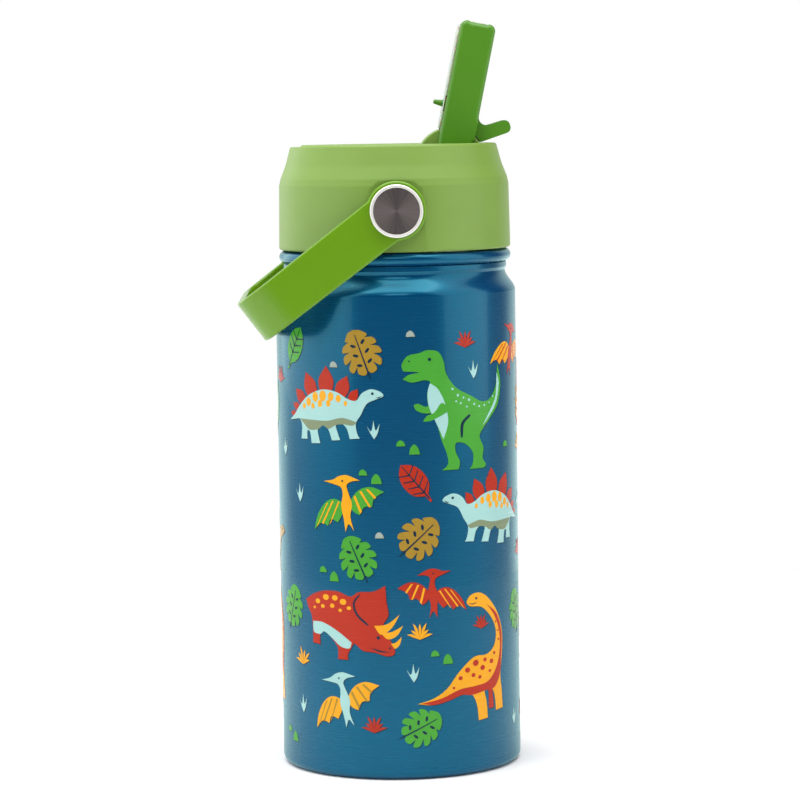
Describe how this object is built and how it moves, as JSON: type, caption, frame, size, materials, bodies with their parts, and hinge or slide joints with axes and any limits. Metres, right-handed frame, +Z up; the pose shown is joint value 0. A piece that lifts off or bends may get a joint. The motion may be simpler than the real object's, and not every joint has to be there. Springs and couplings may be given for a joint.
{
  "type": "kids water bottle",
  "caption": "Insulated steel drinking bottle for children, with a screw-on lid, a flip-up straw spout and a swinging strap handle.",
  "frame": {"origin": "on the bottle's axis, in the plane of its base", "axes": "+Z up the bottle's axis; the handle hangs to -X, the spout's hinge is at +X, and one handle pivot faces -Y"},
  "size_m": [0.084, 0.0792, 0.2251],
  "materials": {
    "body_paint": "gloss",
    "print_ink": "gloss",
    "steel": "brushed",
    "spun_steel": "spun, with a polished rim",
    "glass_solder": "fused",
    "getter_metal": "sintered",
    "lid_green": "satin",
    "spout_green": "satin gloss",
    "handle_green": "satin gloss",
    "insert_white": "satin",
    "clear_silicone": "translucent",
    "straw_clear": "translucent"
  },
  "bodies": {
    "bottle": {"outer_shell": "body_paint", "outer_bottom": "steel", "base_cover": "steel", "inner_liner": "steel", "vacuum_seal": "glass_solder", "getter": "getter_metal"},
    "gasket": {"lid_gasket": "clear_silicone"},
    "lid": {"lid_cover": "lid_green", "lid_inner": "insert_white", "vent_valve": "clear_silicone", "straw_sleeve": "clear_silicone", "straw": "straw_clear", "spout_pin_front": "steel", "spout_pin_back": "steel", "pivot_washer_front": "insert_white", "pivot_washer_back": "insert_white", "pivot_screw_front": "steel", "pivot_screw_back": "steel", "pivot_cap_front": "spun_steel", "pivot_cap_back": "spun_steel"},
    "spout": {"spout_hood": "spout_green", "mouthpiece": "clear_silicone"},
    "handle": {"handle": "handle_green"}
  },
  "joints": [
    {"name": "lid_rise", "type": "slide", "parent": "bottle", "child": "gasket", "axis": [0, 0, 1], "range_m": [0, 0.1605]},
    {"name": "lid_unscrew", "type": "hinge", "parent": "gasket", "child": "lid", "pos_m": [0, 0, 0.157], "axis": [0, 0, 1], "range_deg": [0, 2880]},
    {"name": "spout_flip", "type": "hinge", "parent": "lid", "child": "spout", "pos_m": [0.0172, 0, 0.1824], "axis": [0, -1, 0], "range_deg": [0, 101.8]},
    {"name": "handle_swing", "type": "hinge", "parent": "lid", "child": "handle", "pos_m": [0, 0, 0.1688], "axis": [0, 1, 0], "range_deg": [0, 135]}
  ],
  "couplings": [
    {"joint": "lid_rise", "follows": "lid_unscrew", "m_per_rad": 0.0031831}
  ]
}
